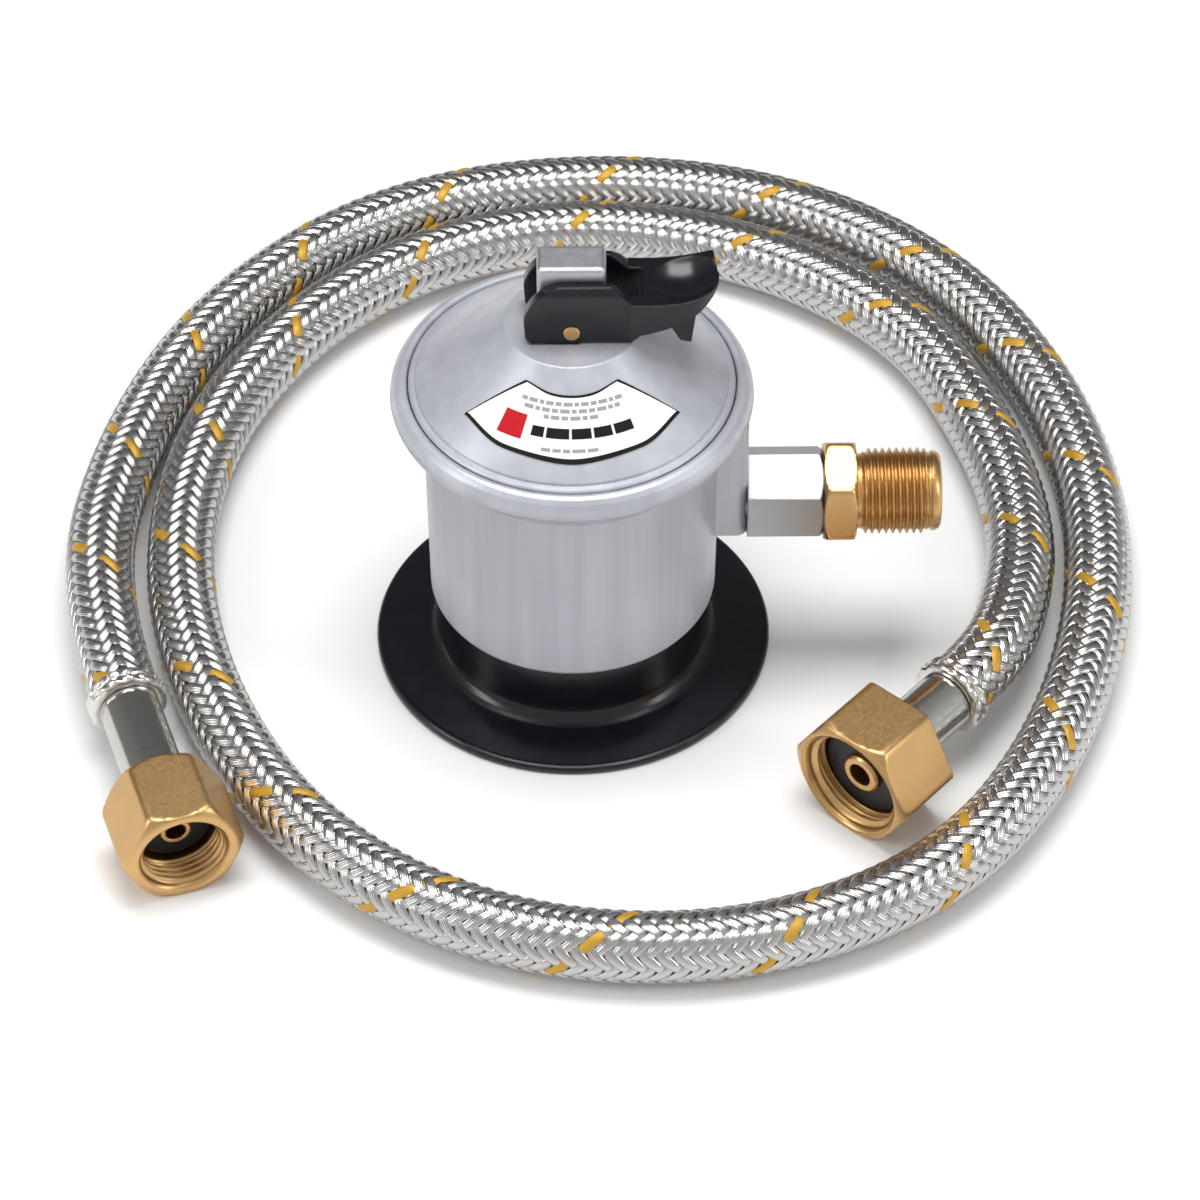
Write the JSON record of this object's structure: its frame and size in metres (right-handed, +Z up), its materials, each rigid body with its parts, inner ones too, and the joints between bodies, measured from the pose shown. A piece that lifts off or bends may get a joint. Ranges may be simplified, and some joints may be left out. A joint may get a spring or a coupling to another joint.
{
  "type": "propane regulator hose",
  "caption": "Clip-on low-pressure propane regulator with a cam lever and a threaded outlet, inside a coil of steel-braided gas hose with a union nut at each end.",
  "frame": {"origin": "on the regulator's axis, in the mouth plane of its cylinder-valve socket, which is also the plane it stands on", "axes": "+Z up along the regulator's axis, +X along its outlet"},
  "size_m": [0.2132, 0.2298, 0.0984],
  "materials": {
    "die_cast_paint": "silver-grey lacquer with a fine cast texture",
    "label_film": "printed film",
    "zinc_plated_steel": "plated, lightly brushed",
    "spring_steel": "bright drawn",
    "black_plastic": "smooth moulded",
    "brass": "machined",
    "filter_bronze": "sintered",
    "seal_rubber": "moulded",
    "steel_braid": "braided bright wire with one yellow tracer",
    "hose_rubber": "extruded"
  },
  "bodies": {
    "regulator": {"housing": "die_cast_paint", "cap": "die_cast_paint", "cap_label": "label_film", "ball_cage": "zinc_plated_steel", "retaining_ring": "zinc_plated_steel", "inlet_seal": "seal_rubber", "inlet_filter": "filter_bronze", "stem_seal": "seal_rubber", "adjusting_ring": "brass", "rocker_pin": "spring_steel", "inlet_nozzle": "brass", "outlet_socket": "zinc_plated_steel", "outlet_fitting": "brass", "collar_spring": "spring_steel", "regulating_spring": "spring_steel"},
    "collar": {"release_collar": "black_plastic"},
    "ball_1": {"locking_ball_1": "spring_steel"},
    "ball_2": {"locking_ball_2": "spring_steel"},
    "ball_3": {"locking_ball_3": "spring_steel"},
    "stem": {"stem": "zinc_plated_steel", "pivot_pin": "brass"},
    "lever": {"cam_lever": "black_plastic"},
    "diaphragm": {"diaphragm": "seal_rubber", "diaphragm_plate": "spring_steel", "diaphragm_hub": "brass"},
    "rocker": {"rocker_arm": "brass", "valve_pad": "seal_rubber"},
    "hose": {"hose_braid": "steel_braid", "hose_liner": "hose_rubber", "left_nipple": "brass", "left_seal": "seal_rubber", "left_ferrule": "zinc_plated_steel", "left_end_ring": "zinc_plated_steel", "right_nipple": "brass", "right_seal": "seal_rubber", "right_ferrule": "zinc_plated_steel", "right_end_ring": "zinc_plated_steel"},
    "left_nut": {"left_union_nut": "brass"},
    "right_nut": {"right_union_nut": "brass"}
  },
  "joints": [
    {"name": "collar_lift", "type": "slide", "parent": "regulator", "child": "collar", "axis": [0, 0, 1], "range_m": [0, 0.006], "stiffness_N_per_m": 600, "springref_m": -0.01, "deforming": ["collar_spring"]},
    {"name": "ball_1_out", "type": "slide", "parent": "regulator", "child": "ball_1", "axis": [0, 1, 0], "range_m": [0, 0.0015]},
    {"name": "ball_2_out", "type": "slide", "parent": "regulator", "child": "ball_2", "axis": [-0.866, -0.5, 0], "range_m": [0, 0.0015]},
    {"name": "ball_3_out", "type": "slide", "parent": "regulator", "child": "ball_3", "axis": [0.866, -0.5, 0], "range_m": [0, 0.0015]},
    {"name": "lever_turn", "type": "hinge", "parent": "stem", "child": "lever", "pos_m": [0, 0, 0.085], "axis": [0, -1, 0], "range_deg": [0, 90]},
    {"name": "stem_lift", "type": "slide", "parent": "regulator", "child": "stem", "axis": [0, 0, 1], "range_m": [0, 0.0068]},
    {"name": "diaphragm_move", "type": "slide", "parent": "regulator", "child": "diaphragm", "axis": [0, 0, 1], "range_m": [-0.0008, 0.0005], "stiffness_N_per_m": 2500, "deforming": ["diaphragm", "regulating_spring"]},
    {"name": "rocker_turn", "type": "hinge", "parent": "regulator", "child": "rocker", "pos_m": [-0.0085, 0, 0.0535], "axis": [0, -1, 0], "range_deg": [-6, 4]},
    {"name": "hose_pick_up", "type": "slide", "parent": "regulator", "child": "hose", "axis": [0, 0, 1], "range_m": [0, 0.13]},
    {"name": "left_nut_swivel", "type": "hinge", "parent": "hose", "child": "left_nut", "pos_m": [-0.07537, -0.06089, 0.0105], "axis": [0.309, -0.9511, 0], "continuous": true},
    {"name": "right_nut_swivel", "type": "hinge", "parent": "hose", "child": "right_nut", "pos_m": [0.0569, -0.04701, 0.012], "axis": [-0.6626, -0.749, 0], "continuous": true}
  ],
  "couplings": [
    {"joint": "ball_1_out", "follows": "collar_lift", "ratio": 0.25},
    {"joint": "ball_2_out", "follows": "collar_lift", "ratio": 0.25},
    {"joint": "ball_3_out", "follows": "collar_lift", "ratio": 0.25},
    {"joint": "stem_lift", "follows": "lever_turn", "m_per_rad": 0.004265},
    {"joint": "rocker_turn", "follows": "diaphragm_move", "rad_per_m": 117.6}
  ]
}
